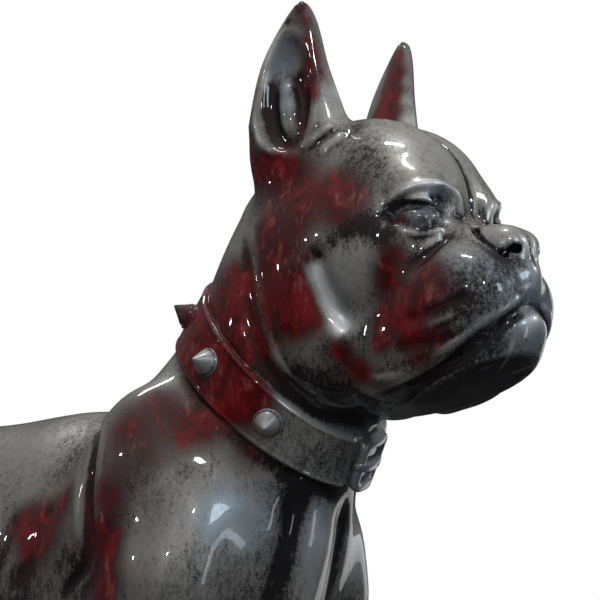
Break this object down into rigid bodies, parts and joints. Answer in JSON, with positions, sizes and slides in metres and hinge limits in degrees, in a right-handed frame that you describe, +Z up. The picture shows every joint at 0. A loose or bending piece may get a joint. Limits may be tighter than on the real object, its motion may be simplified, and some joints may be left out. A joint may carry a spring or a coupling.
{
  "type": "dog statue",
  "caption": "Life-size statue of a standing boxer dog with cropped upright ears and a spiked collar, in lacquered metallic resin, on a low base.",
  "frame": {"origin": "centre of the base's underside", "axes": "+X towards the dog's nose, +Y to the dog's left, +Z up"},
  "size_m": [0.9015, 0.3, 0.8979],
  "materials": {
    "dog_lacquer": "silver and black metallic paint with dark red tints, under a high-gloss clear coat",
    "base_lacquer": "dark metallic paint under a gloss clear coat"
  },
  "bodies": {
    "root": {"boxer_dog": "dog_lacquer", "low_base": "base_lacquer"}
  },
  "joints": []
}
